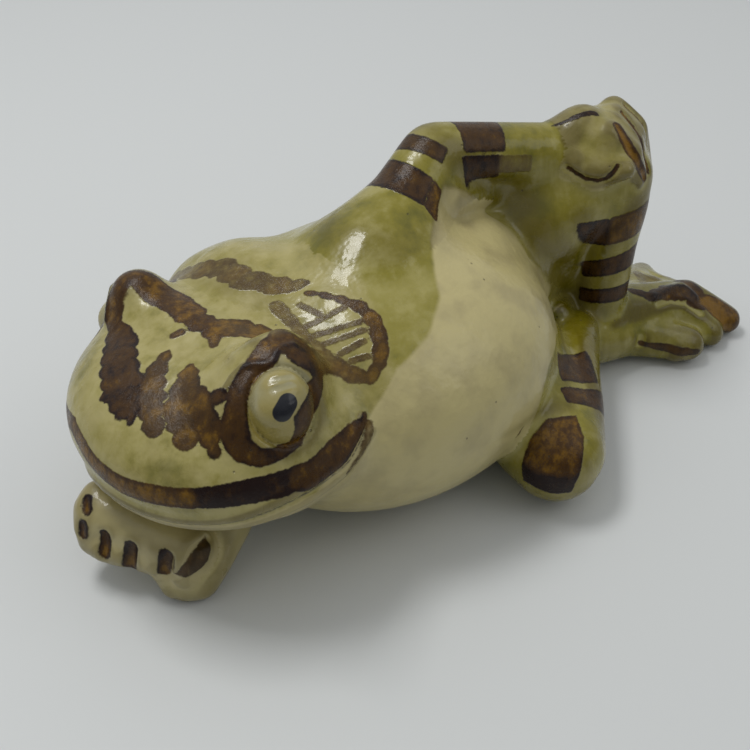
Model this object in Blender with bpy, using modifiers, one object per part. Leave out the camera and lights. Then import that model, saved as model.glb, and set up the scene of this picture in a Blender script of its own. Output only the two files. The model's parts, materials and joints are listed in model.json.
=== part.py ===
"""Reclining frog, a glazed slip-cast ceramic ornament, as the castings it is luted together from.

The frog lies on its right side with its chin on its right fist, its left hand on its raised left
knee and its belly towards -Y. Each casting is modelled as wet clay is: eggs, balls and tapered
rolls are fused by a voxel remesh, smoothed, and trimmed where the casting meets its neighbour.
Run it with: blender --background --python part.py
"""
from math import radians

import bmesh
import bpy
from mathutils import Matrix, Vector

MM = 0.001

# Driving dimensions, in millimetres.
WALL = 4.5              # thickness of the drain-cast shells
SEAM_GAP = 0.4          # slip line left between two castings
VENT_RADIUS = 4.0       # kiln vent in the underside
VENT_X, VENT_Y = -8, -30
NECK_BORE_RADIUS = 12.0 # air passage between the head and the torso
EYE_RADII = (9, 9, 11.5)
LID_RADIUS = 12
FINGER_RADIUS = 4.3
FINGER_PITCH = 6.4
TOE_RADIUS = 5.5

# Landmarks of the pose, in millimetres: X runs from head to feet, the table is at Z 0.
HEAD = Vector((-80, -32, 51))
HEAD_YAW = 12
CHEST = Vector((-22, -30, 40))
SHOULDERS = Vector((-54, -12, 43))
FLANK = Vector((13, -20, 46))
RUMP = Vector((35, -8, 37))
LEFT_EYE = Vector((-80, -69, 74.5))
RIGHT_EYE = Vector((-90, 11, 58))
LEFT_BROW = Vector((-72.5, -60, 77))
RIGHT_BROW = Vector((-88, 4, 72))
LEFT_SHOULDER = Vector((-18, -24, 68))
LEFT_ELBOW = Vector((17, -9, 95))
LEFT_WRIST = Vector((62, -20, 87))
LEFT_KNUCKLES = Vector((75.5, -32, 94))
ROW = Vector((0.77, 0.64, 0))
REACH = Vector((0.64, -0.77, 0))
LEFT_HIP = Vector((40, -9, 48))
LEFT_KNEE = Vector((84, -30, 77))
LEFT_ANKLE = Vector((77, -38, 25))
RIGHT_SHOULDER = Vector((-70, -30, 26))
RIGHT_ELBOW = Vector((-105, -52, 11))
RIGHT_WRIST = Vector((-110, -41, 19))
RIGHT_HIP = Vector((22, -42, 26))
RIGHT_KNEE = Vector((14, -86, 17))
RIGHT_ANKLE = Vector((60, -45, 23))

# Glaze colours, as linear RGB.
CREAM = (0.62, 0.53, 0.36)
GREEN = (0.26, 0.29, 0.09)
WHITE = (0.75, 0.73, 0.66)


def clear_scene():
    for obj in list(bpy.data.objects):
        bpy.data.objects.remove(obj)


def new_collection(name, hidden=False):
    collection = bpy.data.collections.new(name)
    bpy.context.scene.collection.children.link(collection)
    collection.hide_render = hidden
    return collection


def glaze(name, colour):
    material = bpy.data.materials.new(name)
    material.use_nodes = True
    shader = material.node_tree.nodes["Principled BSDF"]
    shader.inputs["Base Color"].default_value = (*colour, 1)
    shader.inputs["Roughness"].default_value = 0.15
    shader.inputs["Metallic"].default_value = 0
    return material


def add_egg(bm, centre, radii, yaw=0.0, pitch=0.0, detail=4):
    """One ellipsoid, turned about Y by pitch and then about Z by yaw, both in degrees."""
    turn = Matrix.Rotation(radians(yaw), 4, "Z") @ Matrix.Rotation(radians(pitch), 4, "Y")
    size = Matrix.Diagonal((*radii, 1))
    bmesh.ops.create_icosphere(
        bm, subdivisions=detail, radius=1, matrix=Matrix.Translation(centre) @ turn @ size
    )


def add_roll(bm, start, start_radius, end, end_radius):
    """A tapered roll of clay with round ends: the convex hull of two balls."""
    ends = []
    for centre, radius in ((start, start_radius), (end, end_radius)):
        ball = bmesh.new()
        bmesh.ops.create_icosphere(ball, subdivisions=3, radius=radius)
        ends += [bm.verts.new(v.co + centre) for v in ball.verts]
        ball.free()
    hull = bmesh.ops.convex_hull(bm, input=ends)
    spare = {v for v in hull["geom_interior"] if isinstance(v, bmesh.types.BMVert)}
    bmesh.ops.delete(bm, geom=list(spare), context="VERTS")


def add_limb(bm, *stations):
    """Rolls joined end to end. Each station is a place and the limb's radius there."""
    for (start, start_radius), (end, end_radius) in zip(stations, stations[1:]):
        add_roll(bm, Vector(start), start_radius, Vector(end), end_radius)


def modifier(obj, kind, **settings):
    added = obj.modifiers.new(kind.title(), kind)
    for name, value in settings.items():
        setattr(added, name, value)
    return added


def apply_modifiers(obj):
    """Replaces the object's mesh by the mesh that its modifiers make."""
    graph = bpy.context.evaluated_depsgraph_get()
    mesh = bpy.data.meshes.new_from_object(obj.evaluated_get(graph))
    obj.modifiers.clear()
    obj.data = mesh
    obj.data.name = obj.name


def fuse(obj, voxel, smoothing, faces):
    """Turns overlapping lumps into one smooth skin of about so many triangles."""
    modifier(obj, "REMESH", mode="VOXEL", voxel_size=voxel * MM)
    modifier(obj, "SMOOTH", factor=0.5, iterations=smoothing)
    modifier(obj, "TRIANGULATE")
    apply_modifiers(obj)
    modifier(obj, "DECIMATE", ratio=min(1.0, faces / len(obj.data.polygons)))
    apply_modifiers(obj)


def clay(name, origin, shape, collection, voxel=2.0, smoothing=4, faces=600):
    """One casting as a solid. shape(bm) adds its lumps, in millimetres."""
    bm = bmesh.new()
    shape(bm)
    bmesh.ops.transform(bm, matrix=Matrix.Translation(-origin), verts=bm.verts)
    bmesh.ops.scale(bm, vec=(MM, MM, MM), verts=bm.verts)
    mesh = bpy.data.meshes.new(name)
    bm.to_mesh(mesh)
    bm.free()
    obj = bpy.data.objects.new(name, mesh)
    obj.location = origin * MM
    collection.objects.link(obj)
    fuse(obj, voxel, smoothing, faces)
    return obj


def as_tool(obj):
    obj.hide_render = True
    obj.display_type = "WIRE"
    return obj


def cutter_from(obj, collection, clearance):
    """A copy of a casting, grown by the clearance, that trims its neighbours."""
    copy = bpy.data.objects.new(obj.name + "_cutter", obj.data.copy())
    copy.location = obj.location
    collection.objects.link(copy)
    modifier(copy, "DISPLACE", strength=clearance * MM, mid_level=0)
    apply_modifiers(copy)
    return as_tool(copy)


def primitive_cutter(name, collection, add, **settings):
    add(**settings)
    obj = bpy.context.object
    obj.name = name
    for owner in list(obj.users_collection):
        owner.objects.unlink(obj)
    collection.objects.link(obj)
    return as_tool(obj)


def keep_largest_lump(obj):
    """Drops the crumbs that trimming can leave beside the main body."""
    bm = bmesh.new()
    bm.from_mesh(obj.data)
    unseen, lumps = set(bm.verts), []
    while unseen:
        lump, edge = set(), [unseen.pop()]
        while edge:
            vert = edge.pop()
            lump.add(vert)
            near = {e.other_vert(vert) for e in vert.link_edges} & unseen
            unseen -= near
            edge += near
        lumps.append(lump)
    main = max(lumps, key=len)
    bmesh.ops.delete(bm, geom=[v for v in bm.verts if v not in main], context="VERTS")
    bm.to_mesh(obj.data)
    bm.free()


def cut(obj, *cutters):
    for tool in cutters:
        modifier(obj, "BOOLEAN", operation="DIFFERENCE", solver="EXACT", object=tool)
    apply_modifiers(obj)
    keep_largest_lump(obj)


def torso_shape(bm, inset=0.0):
    add_egg(bm, CHEST, (66 - inset, 57 - inset, 43 - inset))
    add_egg(bm, SHOULDERS, (36 - inset, 45 - inset, 37 - inset))
    add_egg(bm, FLANK, (34 - inset, 31 - inset, 32 - inset))
    add_egg(bm, RUMP, (41 - inset, 33 - inset, 34 - inset), yaw=10)


def head_shape(bm):
    add_egg(bm, HEAD, (47, 50.5, 25), yaw=HEAD_YAW)
    add_egg(bm, HEAD + Vector((2, 0, -10)), (41, 45, 16), yaw=HEAD_YAW)
    for eye, brow in ((LEFT_EYE, LEFT_BROW), (RIGHT_EYE, RIGHT_BROW)):
        middle = eye.lerp(Vector((HEAD.x, HEAD.y, eye.z)), 0.35)
        add_roll(bm, brow, 10, middle + Vector((0, 0, -13)), 22)
        add_roll(bm, brow, 9, eye.lerp(middle, 0.25), LID_RADIUS)
    add_roll(bm, LEFT_BROW + Vector((0, 6, -13)), 15, RIGHT_BROW + Vector((0, -4, -9)), 14)


def torso_cavity(bm):
    torso_shape(bm, WALL)


def head_cavity(bm):
    add_egg(bm, HEAD + Vector((2, 0, -3)), (38, 39, 17), yaw=HEAD_YAW)


def left_arm_shape(bm):
    upper_arm = LEFT_SHOULDER.lerp(LEFT_ELBOW, 0.55)
    add_limb(bm, (LEFT_SHOULDER, 24), (upper_arm, 14), (LEFT_ELBOW, 11), (LEFT_WRIST, 10))


def left_hand_shape(bm):
    """The palm hangs over the knee; the fingers lie side by side along ROW and point along REACH."""
    row_middle = LEFT_KNUCKLES + ROW * FINGER_PITCH * 1.5
    palm = LEFT_WRIST.lerp(row_middle, 0.5)
    add_limb(bm, (LEFT_WRIST, 10), (palm + Vector((0, 0, 1)), 10.5))
    add_roll(bm, palm, 10, LEFT_KNUCKLES - Vector((0, 0, 4)), 8)
    add_roll(bm, palm, 10, LEFT_KNUCKLES + ROW * FINGER_PITCH * 3 - Vector((0, 0, 5)), 7)
    for i in range(4):
        knuckle = LEFT_KNUCKLES + ROW * FINGER_PITCH * i
        bend = knuckle + REACH * 8 + Vector((0, 0, -6))
        tip = knuckle + REACH * 13 + Vector((0, 0, -21))
        add_limb(bm, (knuckle, FINGER_RADIUS + 1.2), (bend, FINGER_RADIUS + 1), (tip, FINGER_RADIUS))
    thumb = LEFT_WRIST + Vector((1, -11, 0))
    crook = thumb + REACH * 8 + Vector((0, 0, -4))
    add_limb(bm, (thumb, 5), (crook, 5), (crook + REACH * 9 + Vector((0, 0, 3)), 4.2))


def left_thigh_shape(bm):
    add_limb(bm, (LEFT_HIP, 25), (LEFT_HIP.lerp(LEFT_KNEE, 0.5), 20), (LEFT_KNEE, 13.5))
    haunch = LEFT_ANKLE + Vector((-10, 16, 9))
    add_roll(bm, LEFT_HIP, 25, haunch, 12)
    add_roll(bm, LEFT_HIP.lerp(LEFT_KNEE, 0.5), 19, haunch, 12)


def left_shin_shape(bm):
    knee_end = LEFT_KNEE + Vector((0, -2, -3))
    middle = LEFT_KNEE.lerp(LEFT_ANKLE, 0.5)
    add_limb(bm, (knee_end, 14), (middle, 12), (LEFT_ANKLE, 10.5))


def left_foot_shape(bm):
    """A ridge to each of three toes, and the web between them."""
    heel = LEFT_ANKLE + Vector((2, 0, -6))
    tips = [Vector((120, -60, TOE_RADIUS)), Vector((132, -58, TOE_RADIUS)), Vector((126, -16, TOE_RADIUS))]
    knuckles = [Vector((113, -47, 14)), Vector((122, -44, 13)), Vector((108, -27, 13))]
    for knuckle, tip in zip(knuckles, tips):
        add_limb(bm, (heel, 11), (knuckle, 7), (tip, TOE_RADIUS + 0.5))
    add_roll(bm, knuckles[1], 5, tips[2].lerp(tips[1], 0.15), 4.5)
    add_roll(bm, knuckles[1] + Vector((-4, 4, -2)), 6, knuckles[2] + Vector((6, 2, -2)), 6)


def right_thigh_shape(bm):
    add_limb(bm, (RIGHT_HIP, 27), (RIGHT_HIP.lerp(RIGHT_KNEE, 0.6), 20), (RIGHT_KNEE, 16))


def right_shin_shape(bm):
    knee_end = RIGHT_KNEE + Vector((4, 1, 1))
    middle = RIGHT_KNEE.lerp(RIGHT_ANKLE, 0.55) + Vector((0, 0, 3))
    add_limb(bm, (knee_end, 15.5), (middle, 11.5), (RIGHT_ANKLE, 9))


def right_foot_shape(bm):
    heel = RIGHT_ANKLE + Vector((6, 3, -9))
    toe = Vector((106, -61, TOE_RADIUS + 1.5))
    add_limb(bm, (heel, 10.5), (Vector((89, -45, 10)), 9.5), (toe, TOE_RADIUS + 1.5))


def right_arm_shape(bm):
    add_limb(bm, (RIGHT_SHOULDER, 13), (RIGHT_ELBOW, 11.5), (RIGHT_WRIST, 7))


def right_hand_shape(bm):
    little_finger = Vector((-122.5, -27, 22))
    thumb = Vector((-107, -54, 19))
    add_roll(bm, little_finger, 8.5, thumb, 8.5)
    for i in range(5):
        knuckle = little_finger.lerp(thumb, i / 4) + Vector((-3, -2, 1))
        add_roll(bm, knuckle, FINGER_RADIUS + 1, knuckle + Vector((-1, -1, -8)), FINGER_RADIUS)


def eyeball_shape(bm, centre):
    add_egg(bm, centre, EYE_RADII, detail=3)


def plain_solid(name, centre, shape, collection):
    """A casting whose lumps need no fusing."""
    bm = bmesh.new()
    shape(bm, centre)
    bmesh.ops.transform(bm, matrix=Matrix.Translation(-centre), verts=bm.verts)
    bmesh.ops.scale(bm, vec=(MM, MM, MM), verts=bm.verts)
    mesh = bpy.data.meshes.new(name)
    bm.to_mesh(mesh)
    bm.free()
    obj = bpy.data.objects.new(name, mesh)
    obj.location = centre * MM
    collection.objects.link(obj)
    return obj


def block(name, collection, top):
    """A slab wider than the frog, whose upper face is at the given height."""
    return primitive_cutter(
        name, collection, bpy.ops.mesh.primitive_cube_add,
        size=1, scale=(0.6, 0.6, 0.1), location=(0, 0, top * MM - 0.05),
    )


def bore(name, collection, start, end, radius):
    """A round cutter between two places."""
    return primitive_cutter(
        name, collection, bpy.ops.mesh.primitive_cylinder_add,
        vertices=24, radius=radius * MM, depth=(end - start).length * MM,
        location=start.lerp(end, 0.5) * MM,
        rotation=(end - start).to_track_quat("Z", "Y").to_euler(),
    )


def hollow_out(torso, head, tools):
    """Makes shells of the torso and the head, joined by the neck bore and vented underneath."""
    seat = cutter_from(head, tools, WALL)
    torso_core = clay("torso_core", CHEST, torso_cavity, tools, voxel=3, smoothing=12, faces=400)
    head_core = clay("head_core", HEAD, head_cavity, tools, voxel=2.5, smoothing=4, faces=260)
    for core in (torso_core, head_core):
        as_tool(core)
    cut(torso_core, seat, block("floor_cutter", tools, WALL))
    neck = bore("neck_bore", tools, CHEST.lerp(HEAD, 0.45), HEAD, NECK_BORE_RADIUS)
    underside = Vector((VENT_X, VENT_Y, -WALL))
    vent = bore("vent", tools, underside, underside + Vector((0, 0, 5 * WALL)), VENT_RADIUS)
    cut(torso, torso_core, neck, vent)
    cut(head, head_core, neck)


def finish(obj, material):
    """Glazes one casting and shades it smoothly."""
    obj.data.materials.clear()
    obj.data.materials.append(material)
    for face in obj.data.polygons:
        face.use_smooth = True


def rest_on_origin(objects):
    """Moves the whole figure so that the middle of its footprint's box is at the origin."""
    bpy.context.view_layer.update()
    corners = [obj.matrix_world @ Vector(c) for obj in objects for c in obj.bound_box]
    low = Vector([min(c[k] for c in corners) for k in range(3)])
    high = Vector([max(c[k] for c in corners) for k in range(3)])
    stand = bpy.data.objects.new("frog_origin", None)
    bpy.context.scene.collection.objects.link(stand)
    for obj in objects:
        obj.parent = stand
    stand.location = -Vector(((low.x + high.x) / 2, (low.y + high.y) / 2, low.z))


def build():
    clear_scene()
    frog = new_collection("reclining_frog")
    tools = new_collection("cutters", hidden=True)

    torso = clay("torso_shell", CHEST, torso_shape, frog, voxel=3, smoothing=12, faces=1000)
    head = clay("head_shell", HEAD, head_shape, frog, voxel=2.5, smoothing=8, faces=900)
    left_eye = plain_solid("left_eyeball", LEFT_EYE, eyeball_shape, frog)
    right_eye = plain_solid("right_eyeball", RIGHT_EYE, eyeball_shape, frog)
    left_arm = clay("left_arm", LEFT_SHOULDER, left_arm_shape, frog)
    left_hand = clay("left_hand", LEFT_WRIST, left_hand_shape, frog, voxel=1.3, faces=750)
    left_thigh = clay("left_thigh", LEFT_HIP, left_thigh_shape, frog)
    left_shin = clay("left_shin", LEFT_KNEE, left_shin_shape, frog, faces=500)
    left_foot = clay("left_foot", LEFT_ANKLE, left_foot_shape, frog, voxel=1.5, faces=600)
    right_thigh = clay("right_thigh", RIGHT_HIP, right_thigh_shape, frog, faces=500)
    right_shin = clay("right_shin", RIGHT_KNEE, right_shin_shape, frog, faces=500)
    right_foot = clay("right_foot", RIGHT_ANKLE, right_foot_shape, frog, voxel=1.5, faces=500)
    right_arm = clay("right_arm", RIGHT_SHOULDER, right_arm_shape, frog, faces=500)
    right_hand = clay("right_hand", RIGHT_WRIST, right_hand_shape, frog, voxel=1.2, faces=800)

    trims = {
        torso: [head],
        left_thigh: [torso],
        left_shin: [torso, left_thigh],
        right_thigh: [torso, left_thigh, left_shin],
        right_shin: [torso, right_thigh, left_shin],
        left_arm: [torso, head, left_thigh, left_shin],
        left_hand: [left_arm, left_thigh, left_shin],
        right_foot: [torso, right_shin, right_thigh, left_shin],
        left_foot: [torso, left_shin, right_foot, right_shin],
        right_hand: [head],
        right_arm: [torso, head, right_hand],
    }
    solids = {obj: cutter_from(obj, tools, SEAM_GAP) for obj in (head, left_eye, right_eye, *trims)}
    table = block("table_cutter", tools, 0)
    hollow_out(torso, head, tools)
    cut(head, solids[left_eye], solids[right_eye])
    for obj, neighbours in trims.items():
        cut(obj, *[solids[other] for other in neighbours])
        cut(obj, table)
    for obj in (head, torso, left_eye, right_eye, *trims):
        colour = WHITE if "eyeball" in obj.name else CREAM if "shell" in obj.name else GREEN
        finish(obj, glaze(obj.name + "_glaze", colour))
    rest_on_origin([head, left_eye, right_eye, *trims])


build()
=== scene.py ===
"""Reclining frog, a glazed and hand-painted slip-cast ornament.

The castings of the frame are luted into one continuous clay skin: each is turned into a distance
field, the fields are blended, the potter's details are cut and added, and the skin is drawn over
the result. The decorator's strokes are then laid on that skin as vertex attributes, and it is
split back into one piece for each casting.
"""

import json
import math

import bpy
import numpy as np
import openvdb
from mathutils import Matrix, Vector


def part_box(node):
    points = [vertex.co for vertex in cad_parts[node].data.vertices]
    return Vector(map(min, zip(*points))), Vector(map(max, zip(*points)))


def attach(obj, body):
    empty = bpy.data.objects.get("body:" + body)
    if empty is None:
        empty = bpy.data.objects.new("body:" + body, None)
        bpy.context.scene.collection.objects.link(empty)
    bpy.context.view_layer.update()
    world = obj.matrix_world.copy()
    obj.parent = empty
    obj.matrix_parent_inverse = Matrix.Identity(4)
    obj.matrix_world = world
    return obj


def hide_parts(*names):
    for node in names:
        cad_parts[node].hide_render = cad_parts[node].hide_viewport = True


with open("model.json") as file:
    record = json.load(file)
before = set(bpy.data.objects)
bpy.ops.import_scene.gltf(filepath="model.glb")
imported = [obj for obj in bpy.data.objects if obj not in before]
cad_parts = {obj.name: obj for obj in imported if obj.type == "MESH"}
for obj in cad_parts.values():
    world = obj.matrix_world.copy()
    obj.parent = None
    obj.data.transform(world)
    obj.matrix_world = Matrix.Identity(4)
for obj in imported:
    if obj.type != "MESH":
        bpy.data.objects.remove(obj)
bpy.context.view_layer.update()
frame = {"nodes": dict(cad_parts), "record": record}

MM = 1000.0
CELL = 0.8                 # spacing of the distance field, in millimetres
BAND = 11.2                # how far from a surface the field is known
NODES = sorted(frame["nodes"])
BOX = {n: [np.array(v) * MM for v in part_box(n)] for n in NODES}
EYES = ("left_eyeball", "right_eyeball")

# The camera looks from this side. Angles around a limb are zero on the side that faces it.
AZIMUTH, ELEVATION = math.radians(-35), math.radians(40)
TO_VIEWER = np.array([math.sin(AZIMUTH) * math.cos(ELEVATION),
                      -math.cos(AZIMUTH) * math.cos(ELEVATION), math.sin(ELEVATION)])

# How softly each casting was sponged, and how wide the slip fillet at its joins is (millimetres).
SOFTNESS = {"torso_shell": 3.2, "head_shell": 2.0, "left_arm": 2.2, "left_thigh": 2.2, "left_shin": 2.0,
            "right_thigh": 2.2, "right_shin": 2.0, "right_arm": 1.8, "left_foot": 1.1,
            "right_foot": 1.2, "left_hand": 0.9, "right_hand": 0.9}
FILLET = {"torso_shell": 3.0, "left_arm": 11.0, "left_thigh": 5.0, "right_thigh": 5.0, "left_shin": 4.0,
          "right_shin": 4.0, "left_foot": 4.0, "right_foot": 4.0, "right_arm": 4.0, "right_hand": 2.5,
          "left_hand": 3.0, "head_shell": 9.0}
MERGE_ORDER = ["torso_shell", "left_thigh", "right_thigh", "left_shin", "right_shin", "left_foot",
               "right_foot", "left_arm", "left_hand", "head_shell", "right_arm", "right_hand"]


def inside(node, fx, fy, fz):
    """A point given as fractions of a casting's box (millimetres)."""
    low, high = BOX[node]
    return low + (high - low) * np.array([fx, fy, fz])


# ---------------------------------------------------------------- the grid that holds the clay

low = np.min([b[0] for b in BOX.values()], 0)
high = np.max([b[1] for b in BOX.values()], 0)
FIRST = np.floor(low / CELL).astype(int) - 8
LAST = np.ceil(high / CELL).astype(int) + 8
SHAPE = tuple(int(n) for n in LAST - FIRST + 1)
WHOLE = tuple(slice(0, n) for n in SHAPE)


def window(low, high, margin):
    """The slices of the grid that hold a box given in millimetres, with a margin."""
    start = np.floor((np.asarray(low) - margin) / CELL).astype(int) - FIRST
    stop = np.ceil((np.asarray(high) + margin) / CELL).astype(int) - FIRST + 1
    return tuple(slice(max(int(a), 0), min(int(b), n)) for a, b, n in zip(start, stop, SHAPE))


def axes_of(part):
    """X, Y and Z of the grid cells in the given slices, shaped so that they broadcast."""
    out = []
    for axis in range(3):
        line = (FIRST[axis] + np.arange(part[axis].start, part[axis].stop)) * CELL
        out.append(line.astype(np.float32).reshape([-1 if a == axis else 1 for a in range(3)]))
    return out


def casting_field(node, part):
    """Signed distance to one casting (millimetres) over part of the grid."""
    mesh = frame["nodes"][node].data
    mesh.calc_loop_triangles()
    points = np.empty(len(mesh.vertices) * 3, np.float32)
    mesh.vertices.foreach_get("co", points)
    corners = np.empty(len(mesh.loop_triangles) * 3, np.int32)
    mesh.loop_triangles.foreach_get("vertices", corners)
    grid = openvdb.FloatGrid.createLevelSetFromPolygons(
        points.reshape(-1, 3) * MM,
        triangles=corners.reshape(-1, 3).astype(np.uint32),
        transform=openvdb.createLinearTransform(voxelSize=CELL),
        halfWidth=BAND / CELL,
    )
    field = np.empty(tuple(s.stop - s.start for s in part), np.float32)
    grid.copyToArray(field, ijk=tuple(int(FIRST[a] + part[a].start) for a in range(3)))
    return field


def blur(field, sigma):
    """Gaussian blur of a field, sigma in millimetres."""
    reach = int(math.ceil(2.5 * sigma / CELL))
    weights = np.exp(-0.5 * (np.arange(-reach, reach + 1) * CELL / sigma) ** 2)
    weights /= weights.sum()
    for axis in range(3):
        line = np.moveaxis(field, axis, 0)
        padded = np.concatenate([line[:1]] * reach + [line] + [line[-1:]] * reach)
        total = np.zeros_like(line)
        for shift, weight in enumerate(weights):
            total += np.float32(weight) * padded[shift: shift + len(line)]
        field = np.moveaxis(total, 0, axis)
    return np.ascontiguousarray(field)


def cavity_of(field, plug):
    """Cells inside a shell: the air that the outside can't reach with the vent plugged."""
    step = 2
    air = field[::step, ::step, ::step] > 0.5
    x, y, z = (a[tuple(slice(None, None, step) if s > 1 else slice(None) for s in a.shape)]
               for a in axes_of(WHOLE))
    air &= ~((np.hypot(x - plug[0], y - plug[1]) < 28) & (z < 2.5))
    reached = np.zeros_like(air)
    reached[-1] = reached[0] = reached[:, 0] = reached[:, -1] = reached[:, :, -1] = True
    reached &= air
    count = -1
    while count != reached.sum():
        count = reached.sum()
        for _ in range(6):
            for axis in range(3):
                grown = np.moveaxis(reached, axis, 0)
                before = grown.copy()
                grown[1:] |= before[:-1]
                grown[:-1] |= before[1:]
            reached &= air
    hollow = air & ~reached
    for axis in range(3):
        view = np.moveaxis(hollow, axis, 0)
        before = view.copy()
        view[1:] |= before[:-1]
        view[:-1] |= before[1:]
    for axis in range(3):
        hollow = np.repeat(hollow, step, axis)
    return hollow[: SHAPE[0], : SHAPE[1], : SHAPE[2]]


def smooth_min(a, b, k):
    h = np.maximum(k - np.abs(a - b), 0) / k
    return np.minimum(a, b) - h * h * (k / 4)


def build_skin():
    """The blended field of all castings, and which casting each cell is nearest to."""
    shells = {n: casting_field(n, WHOLE) for n in ("torso_shell", "head_shell")}
    plug = np.array(frame["record"]["mounts"][0]["pos_m"]) * MM
    hollow = cavity_of(np.minimum(shells["torso_shell"], shells["head_shell"]), plug)
    nearer_torso = shells["torso_shell"] <= shells["head_shell"]
    shells["torso_shell"][hollow & nearer_torso] = -BAND
    shells["head_shell"][hollow & ~nearer_torso] = -BAND
    skin = np.full(SHAPE, BAND, np.float32)
    owner = np.zeros(SHAPE, np.int8)
    nearest = np.full(SHAPE, BAND, np.float32)
    for node in MERGE_ORDER:
        part = window(*BOX[node], BAND)
        field = shells.pop(node)[part] if node in shells else casting_field(node, part)
        field = blur(field, SOFTNESS[node])
        closer = field < nearest[part]
        owner[part][closer] = NODES.index(node)
        nearest[part][closer] = field[closer]
        skin[part] = smooth_min(skin[part], field, FILLET[node])
    return skin, owner


skin, owner = build_skin()


# ---------------------------------------------------------------- places on the skin

def sample(field, points):
    """Trilinear value of a field at points given in millimetres."""
    g = points / CELL - FIRST
    i = np.clip(np.floor(g).astype(int), 0, np.array(SHAPE) - 2)
    t = (g - i).astype(np.float32)
    out = np.zeros(len(points), np.float32)
    for dx in (0, 1):
        for dy in (0, 1):
            for dz in (0, 1):
                w = (t[:, 0] if dx else 1 - t[:, 0]) * (t[:, 1] if dy else 1 - t[:, 1])
                w = w * (t[:, 2] if dz else 1 - t[:, 2])
                out += w * field[i[:, 0] + dx, i[:, 1] + dy, i[:, 2] + dz]
    return out


def bearing(yaw, pitch):
    """Unit vector: yaw 0 looks along -X, yaw 90 along -Y, and a pitch of 90 is straight up."""
    yaw, pitch = np.radians(yaw), np.radians(pitch)
    return np.stack([-np.cos(yaw) * np.cos(pitch), -np.sin(yaw) * np.cos(pitch), np.sin(pitch)], -1)


class Ball:
    """Places on a rounded lump, as the bearing (yaw, pitch) from its centre."""

    def __init__(self, centre):
        self.centre = centre

    def place(self, u, v, lift=0.0):
        """The point of the skin in that direction, raised by lift (millimetres)."""
        ray = bearing(u, v)
        steps = np.arange(3, 75, 0.4)
        values = sample(skin, self.centre + steps[:, None] * ray)
        out = int(np.argmax((values[:-1] <= 0) & (values[1:] > 0))) + 1
        edge = steps[out - 1] + 0.4 * values[out - 1] / (values[out - 1] - values[out])
        return self.centre + ray * (edge + lift)

    def distance(self, points, path):
        """Distance over the skin from each point to a path, with the path's own width taken off."""
        away = points - self.centre
        reach = np.linalg.norm(away, axis=1)
        away = away / reach[:, None]
        corners = [(bearing(u, v), w) for u, v, w in path]
        return path_distance(away, corners, reach)


class Limb:
    """Places on a limb, as millimetres along its bone and degrees around it."""

    def __init__(self, start, end, girth=20.0):
        self.start, self.girth = start, girth
        self.axis = (end - start) / np.linalg.norm(end - start)
        self.front = TO_VIEWER - self.axis * (TO_VIEWER @ self.axis)
        self.front /= np.linalg.norm(self.front)
        self.side = np.cross(self.axis, self.front)

    def place(self, u, v, lift=0.0):
        ray = np.cos(np.radians(v)) * self.front + np.sin(np.radians(v)) * self.side
        steps = np.arange(1, 40, 0.4)
        values = sample(skin, self.start + self.axis * u + steps[:, None] * ray)
        out = int(np.argmax((values[:-1] <= 0) & (values[1:] > 0))) + 1
        edge = steps[out - 1] + 0.4 * values[out - 1] / (values[out - 1] - values[out])
        return self.start + self.axis * u + ray * (edge + lift)

    def unroll(self, points):
        away = points - self.start
        along = away @ self.axis
        across, front = away @ self.side, away @ self.front
        return along, np.degrees(np.arctan2(across, front)), np.hypot(across, front)

    def distance(self, points, path):
        along, around, radius = self.unroll(points)
        flat = np.stack([along, np.radians(around) * radius, np.zeros_like(along)], 1)
        middle = radius.mean() if len(radius) else 1.0
        corners = [(np.array([u, np.radians(v) * middle, 0]), w) for u, v, w in path]
        return path_distance(flat, corners, np.ones(len(points)))


def path_distance(points, corners, scale):
    best = np.full(len(points), 1e3)
    along = np.zeros(len(points))
    walked = 0.0
    for (a, wa), (b, wb) in zip(corners[:-1], corners[1:]):
        edge = b - a
        t = np.clip(((points - a) @ edge) / max(edge @ edge, 1e-9), 0, 1)
        gap = np.linalg.norm(points - a - t[:, None] * edge, axis=1) * scale - (wa + (wb - wa) * t)
        closer = gap < best
        best[closer] = gap[closer]
        length = np.linalg.norm(edge)
        along[closer] = ((walked + t * length) * scale)[closer]
        walked += length
    return best, along


HEAD = Ball(inside("head_shell", 0.5, 0.5, 0.44))
TORSO = Ball(inside("torso_shell", 0.39, 0.48, 0.48))
LEFT_PALM = Ball(inside("left_hand", 0.5, 0.5, 0.5))
FIST = Ball(inside("right_hand", 0.5, 0.5, 0.5))
ELBOW = Ball(inside("right_arm", 0.5, 0.5, 0.5))
KNUCKLES = Ball(inside("right_hand", 0.7, 0.75, 0.5))
LEFT_SOLE = Ball(inside("left_foot", 0.5, 0.5, 0.5))
RIGHT_SOLE = Ball(inside("right_foot", 0.5, 0.5, 0.5))
NEAR_EYE = Ball(inside("left_eyeball", 0.5, 0.5, 0.5))
FAR_EYE = Ball(inside("right_eyeball", 0.5, 0.5, 0.5))

# The head's own left and right: everything about the near eye is mirrored to the far one.
NEAR_WAY, FAR_WAY = (eye.centre - HEAD.centre for eye in (NEAR_EYE, FAR_EYE))
SIDEWAYS = NEAR_WAY / np.linalg.norm(NEAR_WAY) - FAR_WAY / np.linalg.norm(FAR_WAY)
SIDEWAYS = SIDEWAYS / np.linalg.norm(SIDEWAYS)


def mirrored(path):
    """The same path of bearings on the other side of the head."""
    out = []
    for yaw, pitch, *rest in path:
        way = bearing(yaw, pitch)
        way = way - 2 * (way @ SIDEWAYS) * SIDEWAYS
        out.append((math.degrees(math.atan2(-way[1], -way[0])), math.degrees(math.asin(way[2])), *rest))
    return out


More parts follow.
